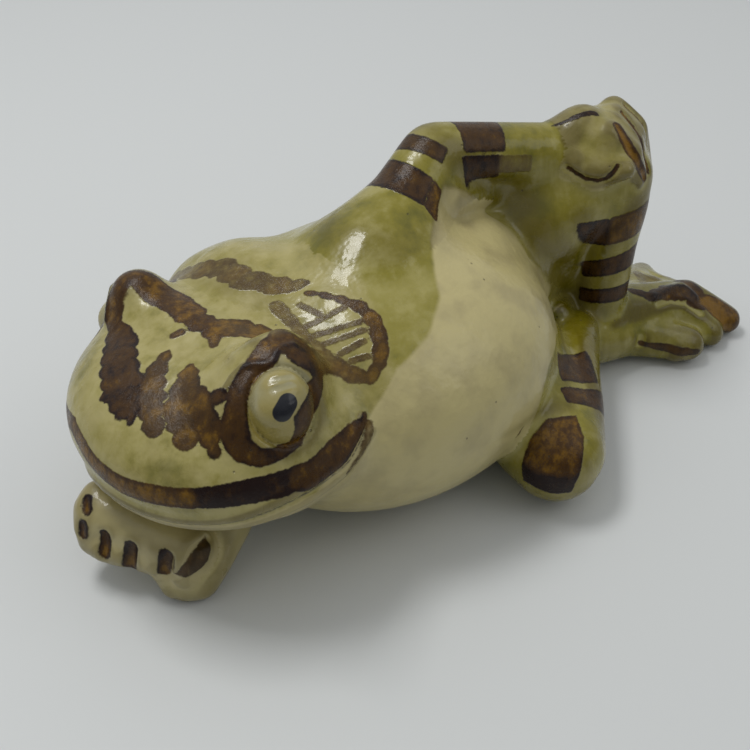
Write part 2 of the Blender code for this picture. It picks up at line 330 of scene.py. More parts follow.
LEFT_KNEE = inside("left_shin", 0.556, 0.67, 0.905)
RIGHT_KNEE = inside("right_thigh", 0.32, 0.20, 0.38)
UPPER_ARM = Limb(inside("left_arm", 0.18, 0.43, -0.21), inside("left_arm", 0.50, 0.765, 0.66))
FOREARM = Limb(inside("left_arm", 0.50, 0.765, 0.66), inside("left_arm", 0.91, 0.52, 0.40))
LEFT_THIGH = Limb(inside("left_thigh", 0.12, 0.68, 0.38), LEFT_KNEE)
LEFT_SHIN = Limb(LEFT_KNEE, inside("left_shin", 0.327, 0.374, 0.148), 24.0)
RIGHT_THIGH = Limb(inside("right_thigh", 0.476, 0.76, 0.58), RIGHT_KNEE, 33.0)
KNEE_CAP = Ball(RIGHT_KNEE)


# ---------------------------------------------------------------- the potter's details

def chain_field(part, points, radii):
    """Distance to a chain of rounded rods, over part of the grid."""
    x, y, z = axes_of(part)
    best = None
    for (a, ra), (b, rb) in zip(list(zip(points, radii))[:-1], list(zip(points, radii))[1:]):
        edge = b - a
        t = (x - a[0]) * edge[0] + (y - a[1]) * edge[1] + (z - a[2]) * edge[2]
        t = np.clip(t / max(edge @ edge, 1e-6), 0, 1).astype(np.float32)
        gap = np.sqrt((x - a[0] - t * edge[0]) ** 2 + (y - a[1] - t * edge[1]) ** 2
                      + (z - a[2] - t * edge[2]) ** 2) - (ra + (rb - ra) * t)
        best = gap if best is None else np.minimum(best, gap)
    return best.astype(np.float32)


def work(points, radii, blend, cut=False):
    """Adds a coil of clay along the points, or with cut draws a tool along them."""
    points = [np.asarray(p, float) for p in points]
    radii = [radii] * len(points) if np.isscalar(radii) else radii
    if len(points) == 1:
        points, radii = points * 2, list(radii) * 2
    part = window(np.min(points, 0), np.max(points, 0), max(radii) + blend + 2 * CELL)
    field = chain_field(part, points, radii)
    if cut:
        skin[part] = -smooth_min(-skin[part], field, blend)
    else:
        skin[part] = smooth_min(skin[part], field, blend)


def curve(corners, count):
    """A smooth open curve through the corners (Catmull-Rom), as a list of tuples."""
    corners = np.array(corners, float)
    ends = np.concatenate([2 * corners[:1] - corners[1:2], corners, 2 * corners[-1:] - corners[-2:-1]])
    out = []
    for i in range(len(corners) - 1):
        p0, p1, p2, p3 = ends[i:i + 4]
        for t in np.linspace(0, 1, count, endpoint=False):
            out.append(0.5 * (2 * p1 + (p2 - p0) * t + (2 * p0 - 5 * p1 + 4 * p2 - p3) * t ** 2
                              + (3 * p1 - p0 - 3 * p2 + p3) * t ** 3))
    return out + [corners[-1]]


# The mouth runs from cheek to cheek below the brown lip band.
MOUTH = [(-112, -13), (-100, -19), (-80, -25), (-57, -27), (-36, -24), (-18, -18), (-5, -13), (12, -10),
         (30, -11), (48, -10),
         (60, -8), (70, -5), (80, -2), (90, 0), (100, 1), (108, 1.5), (114, 4), (119, 7), (121, 8.5)]


def sculpt_mouth():
    """Two lips that swell towards the front, with the line of the mouth drawn between them."""
    path = curve(MOUTH, 3)
    swell = [math.exp(-((u - 20) / 34) ** 2) for u, _ in path]
    slim = [0.8 * min(max((u - 85) / 30, 0), 1) for u, _ in path]
    work([HEAD.place(u, v + 2.8 - 0.8 * t, 1.2 * k - 1.8) for (u, v), k, t in zip(path, swell, slim)],
         [2.4 - t for t in slim], 1.6)
    work([HEAD.place(u, v - 3.6 + t, 1.4 * k - 1.2) for (u, v), k, t in zip(path, swell, slim)],
         [2.2 - t for t in slim], 1.6)
    work([HEAD.place(u, v, 0.2) for u, v in path], 0.9, 0.6, cut=True)


def ellipsoid_field(part, centre, radii):
    x, y, z = axes_of(part)
    unit = np.sqrt(((x - centre[0]) / radii[0]) ** 2 + ((y - centre[1]) / radii[1]) ** 2
                   + ((z - centre[2]) / radii[2]) ** 2)
    return ((unit - 1) * min(radii)).astype(np.float32)


def sculpt_eye(node, ball, dome, lid, wrinkles):
    """The ball of an eye, the bulge of its iris, the rolled edge of its lid and the lid's wrinkles."""
    low, high = BOX[node]
    part = window(low, high, 6)
    field = ellipsoid_field(part, (low + high) / 2, (high - low) / 2)
    eye = field < skin[part] + 0.3
    skin[part] = smooth_min(skin[part], field, 0.8)
    owner[part][eye] = NODES.index(node)
    work([ball.place(*dome, -6.0)], 7.0, 0.8)
    work([HEAD.place(u, v, -0.4) for u, v in lid], 1.1, 0.8)
    for line in wrinkles:
        work([ball.place(u, v, 0.3) for u, v in line], 0.6, 1.0, cut=True)


LID = [(67, 44), (72, 48), (80, 51), (86, 50), (91, 48), (95, 48.5), (98, 50), (102, 51), (106, 50),
       (110, 49)]
EYE_DOME = [(45, 39)]
WRINKLES = [[(40, 66), (75, 70), (115, 66)], [(10, 76), (100, 82), (150, 72)]]


def sculpt_eyes():
    sculpt_eye("left_eyeball", NEAR_EYE, EYE_DOME[0], LID, WRINKLES)
    sculpt_eye("right_eyeball", FAR_EYE, mirrored(EYE_DOME)[0], mirrored(LID),
               [mirrored(w) for w in WRINKLES])


# The three grooves between the fingers of the left hand, and the crease that parts its thumb.
HAND_GAPS = [[(65, 66), (73, 49), (82, 27), (93, 5), (108, -18)],
             [(192, 61), (157, 49), (130, 25), (125, 5), (122, -16)],
             [(205, 43), (189, 32), (173, 17), (160, 0)]]
THUMB_CREASE = [(6, 3), (13, -2), (22, -8), (36, -10), (45, -6), (52, 2), (57, 10)]


def rub(centre, reach, sigma):
    """Smooths the skin around a point, as with a wet finger."""
    part = window(centre, centre, reach)
    x, y, z = axes_of(part)
    far = np.sqrt((x - centre[0]) ** 2 + (y - centre[1]) ** 2 + (z - centre[2]) ** 2) / reach
    skin[part] += np.clip(1.6 - 1.6 * far, 0, 1) * (blur(skin[part], sigma) - skin[part])


def sculpt_left_hand():
    rub(LEFT_PALM.place(36, 2), 15, 3.0)
    for gap in HAND_GAPS:
        work([LEFT_PALM.place(u, v, 0.5) for u, v in curve(gap, 6)], 1.2, 0.8, cut=True)
    work([LEFT_PALM.place(u, v, 0.5) for u, v in curve(THUMB_CREASE, 4)], 1.1, 1.2, cut=True)


# The dimples between the curled fingers of the right hand: the two ends as yaw and pitch, half width.
FIST_DIMPLES = [((-10, 28), (-2, 23), 1.9), ((1, 11), (3, 3), 1.9), ((21, 8), (23, -7), 2.3),
                ((48, 6), (44, -17), 2.4), ((75, 7), (72, -8), 2.2)]
# The edge of the fist where it lies on the forearm.
FIST_EDGE = [(62, -18), (69, -13), (77, -8), (82, 1), (86, 7), (90, 11), (96, 12), (103, 11)]


def sculpt_fist():
    """The knuckle lobes, the forearm's swell, the fist's edge and the dimples between the fingers."""
    lobes = [(-66, 20, -3.6), (-55, 12, -4.4), (-44, 0, -3.0), (-40, -14, -2.2), (-30, -20, -3.2),
             (-8, -30, -3.0), (15, -38, -3.4), (50, -40, -3.8), (80, -24, -4.2)]
    work([FIST.place(*lobe) for lobe in lobes], [5.0] * 5 + [4.6, 4.4, 4.2, 4.0], 3.0)
    elbow = [(8, -12, -1.6), (18, -15, -1.5), (27, -21, -1.4), (36, -24, -2.4), (48, -24, -3.6)]
    work([ELBOW.place(*swell) for swell in elbow], 5.0, 3.0)
    work([KNUCKLES.place(u, v, 0.5) for u, v in curve(FIST_EDGE, 3)], 1.5, 1.0, cut=True)
    for start, end, width in FIST_DIMPLES:
        work([KNUCKLES.place(*start, 1.1), KNUCKLES.place(*end, 1.1)], width, 0.8, cut=True)


def sculpt_toes():
    """The right foot's round toe and its narrow neck; the ridge and valleys of the left foot's web."""
    work([inside("right_foot", .78, .205, .29), inside("right_foot", .87, .165, .29)], 5.4, 1.2)
    work([RIGHT_SOLE.place(u, v, 0.6) for u, v in ((118, 20), (113, 8), (108, -6))], 1.4, 1.4, cut=True)
    work([LEFT_SOLE.place(u, v, -1.0) for u, v in ((60, 44), (110, 46), (150, 24), (140, 10))], 2.2, 1.6)
    work([LEFT_SOLE.place(u, v, 0.9) for u, v in ((70, 34), (100, 34), (122, 18), (124, 4))],
         1.8, 1.2, cut=True)


def sculpt_joins():
    """Fills the pits where limbs meet, and builds up the brow over the near eye."""
    work([inside("left_arm", .48, .50, .30), inside("left_arm", .70, .64, .06)], 6.0, 4.0)
    work([inside("right_shin", .74, .96, .85), inside("right_shin", .92, 1.05, .69)], 4.5, 3.0)
    brow = [inside("head_shell", *f) for f in ((.48, .28, .88), (.535, .28, .92), (.60, .28, .92),
                                                (.645, .27, .85), (.67, .26, .76))]
    work(brow, [4.0, 4.8, 5.0, 4.8, 4.0], 6.0)


sculpt_joins()
sculpt_mouth()
sculpt_eyes()
sculpt_left_hand()
sculpt_fist()
sculpt_toes()


# ---------------------------------------------------------------- from the field to meshes

def draw_skin(field):
    """Vertices (millimetres), quads and unit normals of the field's surface."""
    grid = openvdb.FloatGrid(BAND)
    grid.copyFromArray(field)
    points, quads = grid.convertToQuads(isovalue=0.0)
    points = (points + FIRST) * CELL
    normals = np.stack([
        sample(field, points + step) - sample(field, points - step)
        for step in np.eye(3) * CELL
    ], 1)
    normals /= np.maximum(np.linalg.norm(normals, axis=1, keepdims=True), 1e-9)
    return points, quads, normals


def clip_to_table(field):
    """Grinds the resting faces flat."""
    z = axes_of(WHOLE)[2]
    return np.maximum(field, -z)


skin = clip_to_table(skin)
points, quads, normals = draw_skin(skin)
owner_of = owner[tuple(np.clip(np.rint(points / CELL - FIRST).astype(int), 0, np.array(SHAPE) - 1).T)]


# ---------------------------------------------------------------- the decorator's strokes

def fill_distance(ball, outline):
    """Distance to a filled outline on a lump, negative inside it (millimetres)."""
    corners = bearing(*np.array(outline, float).T)
    pole = corners.mean(0) / np.linalg.norm(corners.mean(0))
    east = np.cross(pole, [0, 0, 1.0])
    east /= np.linalg.norm(east)
    north = np.cross(east, pole)

    def flatten(ways):
        flat = np.stack([ways @ east, ways @ north], 1)
        angle = np.arccos(np.clip(ways @ pole, -1, 1))
        return flat * (angle / np.maximum(np.linalg.norm(flat, axis=1), 1e-9))[:, None]

    away = points - ball.centre
    reach = np.linalg.norm(away, axis=1)
    flat, corners = flatten(away / reach[:, None]), flatten(corners)
    gap = np.full(len(points), 1e3)
    within = np.zeros(len(points), bool)
    for a, b in zip(corners, np.roll(corners, -1, 0)):
        edge = b - a
        t = np.clip(((flat - a) @ edge) / max(edge @ edge, 1e-12), 0, 1)
        gap = np.minimum(gap, np.linalg.norm(flat - a - t[:, None] * edge, axis=1))
        crosses = (a[1] > flat[:, 1]) != (b[1] > flat[:, 1])
        slope = (b[0] - a[0]) / (b[1] - a[1] if abs(b[1] - a[1]) > 1e-12 else 1e-12)
        within ^= crosses & (flat[:, 0] < a[0] + (flat[:, 1] - a[1]) * slope)
    return np.where(within, -gap, gap) * reach


def on_both_sides(outline):
    """Distance to an outline on the near side of the head, and to its mirror image."""
    return np.minimum(fill_distance(HEAD, outline), fill_distance(HEAD, mirrored(outline)))


def seam_distance(ball, path):
    """Distance to a seam that lies on the skin over the bearings of the path."""
    seam = [(ball.place(u, v), width) for u, v, width in curve(path, 4)]
    return path_distance(points, seam, np.ones(len(points)))[0]


def band_distance(limb, start, end, corner=1.0):
    """Distance to a band across a limb. Each end is (angle, from, to); the angles run upwards."""
    (v0, a0, b0), (v1, a1, b1) = start, end
    along, around, radius = limb.unroll(points)
    t = np.clip((around - v0) / (v1 - v0), 0, 1)
    near, far = a0 + (a1 - a0) * t, b0 + (b1 - b0) * t
    dx = np.abs(along - (near + far) / 2) - (far - near) / 2 + corner
    dy = np.radians(np.abs(around - (v0 + v1) / 2) - (v1 - v0) / 2) * radius + corner
    gap = np.hypot(np.maximum(dx, 0), np.maximum(dy, 0)) + np.minimum(np.maximum(dx, dy), 0) - corner
    return np.where(radius < limb.girth, gap, 20.0)


def soft(distance, width):
    """1 well inside an edge and 0 well outside it."""
    t = np.clip(0.5 - distance / width, 0, 1)
    return t * t * (3 - 2 * t)


def owned_by(*nodes):
    return np.isin(owner_of, [NODES.index(n) for n in nodes])


class Slip:
    """The brown slip: where it lies, how dark it is fired and how thickly it is laid."""

    def __init__(self):
        self.edge = np.full(len(points), 20.0)
        self.tone = np.zeros(len(points))
        self.body = np.zeros(len(points))
        self.dab = np.zeros(len(points))
        self.weight = np.full(len(points), 1e-9)

    def lay(self, distance, where, tone, body=1.0, dab=0.0):
        distance = np.where(where, distance, 20.0)
        weight = np.exp(-np.clip(distance, -6, 20) / 0.9)
        self.tone += weight * tone
        self.body += weight * body
        self.dab += weight * dab
        self.weight += weight
        self.edge = np.minimum(self.edge, distance)

    def brush(self, chart, where, tone, body, path, dabs=0.0):
        """One stroke of the brush, or with dabs a row of short ones that leave a scalloped edge."""
        distance, along = chart.distance(points, path)
        wave = np.sin(along * np.pi / 5.5)
        self.lay(distance - 1.4 * dabs * (np.abs(wave) - 0.6), where, tone, body, wave * dabs)

    def finished(self):
        return self.edge, self.tone / self.weight, self.body / self.weight, self.dab / self.weight


FACE = owned_by("head_shell", "torso_shell", *EYES) & (np.linalg.norm(points - HEAD.centre, axis=1) < 60)
BACK = owned_by("torso_shell", "head_shell") & (np.linalg.norm(points - TORSO.centre, axis=1) < 80)

# Strokes on the face: fired tone (0 ochre, 1 almost black), thickness, depth of the dabs,
# then the path as yaw, pitch and half width.
FACE_STROKES = [
    # the band along the upper lip, ochre in front and almost black below the eye
    (0.50, 1.0, 0.0, [(-110, -13, 1.2), (-94, -17, 3.4), (-73, -17, 3.8), (-56, -14, 3.4), (-42, -7, 3.0),
                       (-28, 1, 2.6), (-12, 6.5, 2.6)]),
    (0.34, 0.9, 0.0, [(-12, 6.5, 2.6), (-3, 5, 3.0), (9, 2.5, 3.2), (22, 1.5, 3.4), (36, 3, 3.5),
                      (50, 4.5, 3.3)]),
    (0.93, 1.0, 0.0, [(54, 5, 3.4), (69, 6.5, 3.8), (83, 7, 3.8)]),
    (0.55, 0.95, 0.0, [(87, 7, 3.9), (92, 6, 4.3), (103, 7.5, 4.8), (114, 9, 3.0), (120, 10, 1.6),
                       (122.5, 12, 0.7)]),
    # the ring round the near eye, ochre above and on its right side
    (0.76, 1.0, 0.0, [(78, 46, 1.0), (72, 38, 1.6), (70, 26, 1.6), (76, 18, 1.2), (86, 17, 1.0)]),
    (0.40, 1.0, 0.0, [(90, 22, 1.0), (98, 26, 1.0), (108, 33, 0.8), (114, 38, 0.6), (117, 44, 0.6)]),
    (0.10, 0.95, 0.0, [(113, 52, 1.4), (103, 55, 2.0), (92, 53.5, 2.0), (84, 51, 1.2)]),
    # the blotch between the eyes and its two arms
    (0.52, 0.8, 0.9, [(-14, 59, 0.8), (1, 50, 2.8), (8, 43, 3.6), (20, 34, 4.2), (30, 25, 2.9)]),
    (0.50, 0.8, 0.9, [(31, 58, 2.2), (38, 47, 4.6), (40, 34, 5.2), (46, 25, 3.4)]),
    (0.55, 0.85, 0.9, [(52, 44, 2.8), (54, 36, 4.2), (56, 28, 4.0), (59, 21, 2.2)]),
    (0.68, 0.9, 0.4, [(58, 40, 2.2), (64, 42, 2.0)]),
    (0.68, 0.9, 0.4, [(58, 30, 2.6), (66, 28, 2.6)]),
    # the stripe down the cheek from the far brow
    (0.42, 1.0, 0.2, [(-75, 37, 2.8), (-67, 33, 3.1), (-63, 30, 3.1), (-58, 28, 3.5)]),
    (0.70, 1.0, 0.7, [(-54, 29, 3.6), (-41, 33, 5.0), (-21, 33, 5.4), (-3, 31, 5.6), (10, 27, 4.0)]),
    (0.66, 1.0, 0.0, [(-8, 28, 2.0), (-6, 23.5, 1.4)]),
    (0.66, 1.0, 0.0, [(6, 27, 1.8), (9, 23, 1.2)]),
    (0.66, 1.0, 0.0, [(14, 28, 2.0), (17, 24, 1.3)]),
    # the band over the far brow, down to the dabs between the brows
    (0.46, 1.0, 0.5, [(-75, 37, 2.6), (-78, 42, 4.6), (-83, 45, 5.6), (-83, 58, 5.4)]),
    (0.50, 0.95, 1.0, [(-83, 58, 5.2), (-80, 71, 4.6), (-98, 88, 3.8)]),
    (0.45, 0.78, 1.0, [(-98, 88, 4.4), (172, 77, 5.4), (151, 69, 5.6), (146, 61, 5.0), (128, 57, 3.6)]),
    (0.48, 0.85, 0.0, [(-42, 67, 1.6), (-36, 62, 1.2)]),
    (0.45, 0.8, 0.0, [(60, 84, 2.4), (56, 77, 1.5)]),
    # the stroke behind the corner of the mouth
    (0.40, 0.6, 0.0, [(122, 8.5, 0.8), (118, 4.5, 0.9), (113, 1, 0.8), (106, -1.5, 0.5)]),
]

# Strokes on the back, from the middle of the body: the scribble, the leaf and its hatching.
BACK_STROKES = [
    (0.30, 0.5, 0.8, [(-45, 19, 2.2), (-37, 31, 4.0)]),
    (0.42, 0.62, 1.0, [(-37, 31, 4.0), (-32, 39, 4.2), (-22, 43, 4.1), (-15, 48, 4.1), (-7, 53, 3.2),
                       (0, 59, 1.2)]),
    (0.30, 0.55, 0.3, [(1, 46, 2.2), (17, 44, 1.7), (28, 40, 2.0), (39, 36, 2.3)]),
    (0.34, 0.7, 0.3, [(39, 36, 2.3), (48, 33, 2.6), (55, 32, 1.9), (59, 37, 2.2)]),
    (0.50, 0.85, 0.5, [(59, 37, 2.3), (60, 43, 2.6), (58, 51, 2.5), (49, 57, 2.2), (34, 59, 1.4),
                       (15, 58, 1.0), (7, 56, 0.8)]),
]
HATCHING = [[(10, 51), (25, 51)], [(21, 44), (38, 56)], [(28, 43), (49, 51)], [(32, 40), (52, 48)],
            [(42, 39), (52, 44)], [(47, 37), (54, 39)]]

# Bands across the limbs: limb, tone, thickness, and the two ends as angle, from and to.
ARM = owned_by("left_arm", "torso_shell")
WRIST = owned_by("left_arm")
SHANK = owned_by("left_shin", "left_thigh", "left_hand")
KNEE = owned_by("right_thigh", "right_shin", "torso_shell")
BANDS = [
    (UPPER_ARM, ARM, 0.62, 0.85, (-120, 40.5, 48.0), (26, 41.0, 47.0)),
    (UPPER_ARM, ARM, 0.70, 0.95, (-125, 25.0, 38.0), (22, 24.0, 35.0)),
    (UPPER_ARM, ARM, 0.42, 0.95, (22, 24.0, 35.0), (44, 21.5, 33.0)),
    (FOREARM, WRIST, 0.60, 0.9, (-120, 5.5, 24.5), (12, 6.5, 22.5)),
    (FOREARM, WRIST, 0.80, 0.95, (17, 5.5, 20.5), (68, 8.5, 22.0)),
    (FOREARM, WRIST, 0.34, 0.45, (18, 20.0, 33.0), (56, 20.0, 34.0)),
    (LEFT_SHIN, SHANK, 0.40, 0.8, (-100, 6.0, 19.0), (10, 14.0, 25.0)),
    (LEFT_SHIN, SHANK, 0.75, 0.95, (8, 14.0, 25.0), (38, 14.0, 25.5)),
    (LEFT_SHIN, SHANK, 0.66, 0.95, (-100, 23.0, 33.0), (52, 33.0, 39.3)),
    (LEFT_SHIN, SHANK, 0.66, 0.95, (-75, 40.5, 47.5), (56, 43.6, 49.3)),
    (RIGHT_THIGH, KNEE, 0.60, 0.95, (-93, 15.0, 29.0), (-45, 20.5, 29.5)),
    (RIGHT_THIGH, KNEE, 0.58, 0.95, (-115, 31.5, 41.0), (-38, 31.5, 37.5)),
]
KNEE_BLOCK = [(-30, 74), (170, 70), (112, 56), (90, 40), (80, 22), (68, -10), (42, -12), (4, -8),
              (-2, 14), (-10, 46)]


def lay_slip():
    slip = Slip()
    slip.lay(on_both_sides(EYE_RING), FACE, 0.56)
    for tone, body, dabs, path in FACE_STROKES:
        slip.brush(HEAD, FACE, tone, body, path, dabs)
    slip.edge = np.maximum(slip.edge, np.where(FACE, -on_both_sides(EYE_OPENING), -20.0))
    for tone, body, dabs, path in BACK_STROKES:
        slip.brush(TORSO, BACK, tone, body, path, dabs)
    for path in HATCHING:
        slip.brush(TORSO, BACK, 0.35, 0.6, [(u, v, 1.1) for u, v in path])
    for limb, where, tone, body, start, end in BANDS:
        slip.lay(band_distance(limb, start, end), where, tone, body)
    block = fill_distance(KNEE_CAP, KNEE_BLOCK)
    upper = soft(KNEE_CAP_SPLIT - points[:, 2], 3.0)
    slip.lay(block, KNEE & (np.linalg.norm(points - RIGHT_KNEE, axis=1) < 24), 0.92 - 0.5 * upper, 0.95)
    hand = owned_by("left_hand", "left_shin", "left_thigh", "left_arm")
    for gap, width in zip(HAND_GAPS, (2.1, 1.4, 1.1)):
        slip.brush(LEFT_PALM, hand, 0.25, 0.95, [(u, v, width) for u, v in gap])
        slip.brush(LEFT_PALM, hand, 0.80, 0.95, [(u, v, 0.5) for u, v in gap])
    slip.brush(LEFT_PALM, hand, 0.62, 0.95, [(u, v, 0.9) for u, v in THUMB_CREASE])
    slip.brush(LEFT_PALM, hand, 0.70, 0.9, [(-23, 30, 0.6), (-21, 46, 1.1), (-20, 66, 1.2)])
    fist = owned_by("right_hand", "right_arm")
    # slip in each dimple, almost black in its upper half as painted shade in the hollow, ochre in its lower
    # half
    for start, end, width in FIST_DIMPLES:
        middle = ((start[0] + end[0]) / 2, (start[1] + end[1]) / 2)
        slip.brush(KNUCKLES, fist, 0.95, 1.0, [(*start, width), (*middle, width)])
        slip.brush(KNUCKLES, fist, 0.50, 0.9, [(*middle, width), (*end, width)])
    slip.lay(fill_distance(KNUCKLES, ARM_PATCH), fist, 0.66, 0.75)
    toes = owned_by("left_foot", "left_shin") & (points[:, 2] < 32)
    slip.brush(LEFT_SOLE, toes, 0.55, 0.9,
               [(10, 45, 1.0), (52, 46, 2.2), (106, 46, 3.4), (135, 26, 3.6)], 0.4)
    slip.brush(LEFT_SOLE, toes, 0.60, 0.95, [(163, 21, 2.4), (150, 14, 2.8), (134, 8, 3.0)], 0.2)
    slip.brush(LEFT_SOLE, toes, 0.28, 0.85, [(144, 2, 3.2), (138, -6, 3.8), (138, -12, 4.0)])
    slip.brush(LEFT_SOLE, toes, 0.40, 0.45, [(0, 80, 1.5), (-122, 24, 1.8), (-156, 10, 1.8)])
    slip.brush(RIGHT_SOLE, owned_by("right_foot"), 0.55, 0.8, [(126, -8, 1.5), (138, -9, 1.7)], 0.4)
    return slip.finished()


EYE_RING = [(61, 29), (69, 45), (77, 51), (87, 55), (97, 58), (107, 58), (115, 56), (119.5, 52),
            (120.5, 46), (119.5, 40), (117, 34), (109, 29), (103, 25), (98, 21), (92, 17), (84, 15),
            (75, 14), (67, 17), (63, 22)]
ARM_PATCH = [(103, 11), (101, 6), (96, 1), (86, -5), (77, -9), (78, -6), (82, 2), (88, 8), (96, 11)]
KNEE_CAP_SPLIT = RIGHT_KNEE[2] + 4.5       # above this height the knee's block is ochre, below it almost black

# The bare cream clay of the belly, as bearings from the middle of the body.
BELLY = [(-178, 61), (-171, 57), (-171, 46), (-171, 34), (-180, 26), (173, 18), (174, 2), (172, -5),
         (160, -2), (146, 8), (130, 8), (125, 5), (117, -6), (110, -20), (100, -45), (50, -50),
         (30, -35), (30, -12), (42, 6), (56, 22), (66, 34), (83, 42), (104, 53), (122, 62), (150, 66)]
EYE_OPENING = [(103, 49.5), (110, 47.5), (112.5, 44), (110, 40), (106, 36.5), (97, 34.5), (92, 32.5),
               (88, 30), (88.5, 26), (87, 20.5), (82, 20), (77, 21), (74, 25), (74, 31), (76, 38),
               (80, 43), (87, 46), (90, 46), (95, 47), (99, 49)]
EYE_WHITE = [(103, 49.5), (110, 47.5), (112.5, 44), (110, 40), (106, 36.5), (97, 34.5), (92, 32.5),
             (88, 30), (86, 29), (83, 28.5), (79, 29), (77, 32), (76, 35), (76, 38), (80, 43), (87, 46),
             (90, 46), (95, 47), (99, 49)]
PUPIL = [(85.0, 32.8, 2.75), (87.8, 34.8, 2.75)]
# Where dark glaze gathers, with painted shade laid in the same places: the bend between thigh, belly and
# arm, and behind the knee.
POOLS_AND_SHADE = [(LEFT_THIGH, [(12, -30, 5.0), (22, -5, 8.0), (24, 25, 9.0), (22, 70, 8.0)], 10.0, 0.7),
         (LEFT_THIGH, [(38, 10, 5.0), (30, 60, 5.0)], 8.0, 0.5),
         (FOREARM, [(2, 105, 2.0), (30, 100, 3.0)], 6.0, 0.7)]


def glaze_masks():
    """Everything about the glaze that isn't brown slip: bare clay, pooling with painted shade, and the
    eyes.
    """
    yaws, pitches = np.array(MOUTH, float).T
    away = points - HEAD.centre
    yaw = np.degrees(np.arctan2(-away[:, 1], -away[:, 0]))
    reach = np.linalg.norm(away, axis=1)
    below = (np.interp(yaw, yaws, pitches) - np.degrees(np.arcsin(away[:, 2] / reach))) * np.radians(reach)
    chin = owned_by("head_shell") & (yaw > -110) & (yaw < 128)
    cream = np.where(chin, 0.9 * soft(-below + 1.2, 1.6), 0)
    middle = np.linalg.norm(points - TORSO.centre, axis=1)
    body = ~owned_by(*EYES, "right_hand", "right_arm", "right_thigh", "right_shin")
    belly = np.where(owned_by("torso_shell", "head_shell"), 1.0, soft(middle - 63, 6.0))
    belly = np.where(body, soft(fill_distance(TORSO, BELLY), 5.0), 0) * belly
    cream = np.maximum(cream, belly)
    cream = np.maximum(cream, np.where(FACE, 0.30 * soft(reach - 57, 6.0), 0))
    # painted shade: the fist's cream is only partly laid over the green, darker, as in the head's shadow
    cream = np.maximum(cream, np.where(owned_by("right_hand"), 0.75, 0))
    cream = np.maximum(cream, np.where(owned_by("right_arm"), 0.45, 0))
    cream = np.maximum(cream, np.where(owned_by("left_hand"), 0.30, 0))
    # dark glaze in the bends, with painted shade laid over it
    pool_and_shade = np.zeros(len(points))
    near = ~owned_by("head_shell", "right_hand", "right_arm", *EYES)
    for chart, path, width, amount in POOLS_AND_SHADE:
        pool_and_shade = np.maximum(pool_and_shade, np.where(near, amount * soft(chart.distance(points, path)[0], width), 0))
    # painted shade: a dark hem along the edge of the belly's cream on thigh, shin and arm
    hem_shade = np.where(owned_by("left_thigh", "left_shin", "left_arm"), 4 * belly * (1 - belly), 0)
    pool_and_shade = np.maximum(pool_and_shade, 0.8 * hem_shade)
    mouth = seam_distance(HEAD, [(u, v, 0.25) for u, v in MOUTH])
    opening = np.where(FACE, on_both_sides(EYE_OPENING), 20.0)
    white = np.where(FACE, on_both_sides(EYE_WHITE), 20.0)
    pupil = np.minimum(HEAD.distance(points, PUPIL)[0], HEAD.distance(points, mirrored(PUPIL))[0])
    return cream, pool_and_shade, mouth, opening, white, np.where(owned_by(*EYES), pupil, 20.0)


def hollowness(sigma):
    """How hollow (positive) or proud (negative) the skin is there, at the scale of sigma."""
    return -sample(blur(np.clip(skin, -6, 6), sigma), points) / sigma


edge, tone, body, dab = lay_slip()
cream, pool_and_shade, line, opening, white_edge, pupil_edge = glaze_masks()
crease, dent = -hollowness(1.2), -hollowness(3.6)
PAINT = {"slip": -edge, "tone": tone, "body": body, "dab": dab, "cream": cream, "pool_and_shade": pool_and_shade, "line": -line,
         "opening": -opening, "white": -white_edge, "pupil": -pupil_edge, "crease": crease, "dent": dent}


# ---------------------------------------------------------------- the pieces

def piece(node):
    """The share of the skin that belongs to one casting."""
    index = NODES.index(node)
    faces = quads[owner_of[quads].max(1) == index]
    used, flat = np.unique(faces, return_inverse=True)
    mesh = bpy.data.meshes.new(node + "_glazed")
    mesh.vertices.add(len(used))
    mesh.vertices.foreach_set("co", (points[used] / MM).astype(np.float32).ravel())
    mesh.loops.add(flat.size)
    mesh.loops.foreach_set("vertex_index", flat.ravel().astype(np.int32))
    mesh.polygons.add(len(faces))
    mesh.polygons.foreach_set("loop_start", np.arange(0, flat.size, 4, dtype=np.int32))
    mesh.update(calc_edges=True)
    mesh.polygons.foreach_set("use_smooth", np.ones(len(faces), bool))
    mesh.normals_split_custom_set_from_vertices(normals[used])
    for name, values in PAINT.items():
        layer = mesh.attributes.new(name, "FLOAT", "POINT")
        layer.data.foreach_set("value", values[used].astype(np.float32))
    obj = bpy.data.objects.new(node + "_glazed", mesh)
    bpy.context.scene.collection.objects.link(obj)
    return obj


# ---------------------------------------------------------------- the glazes

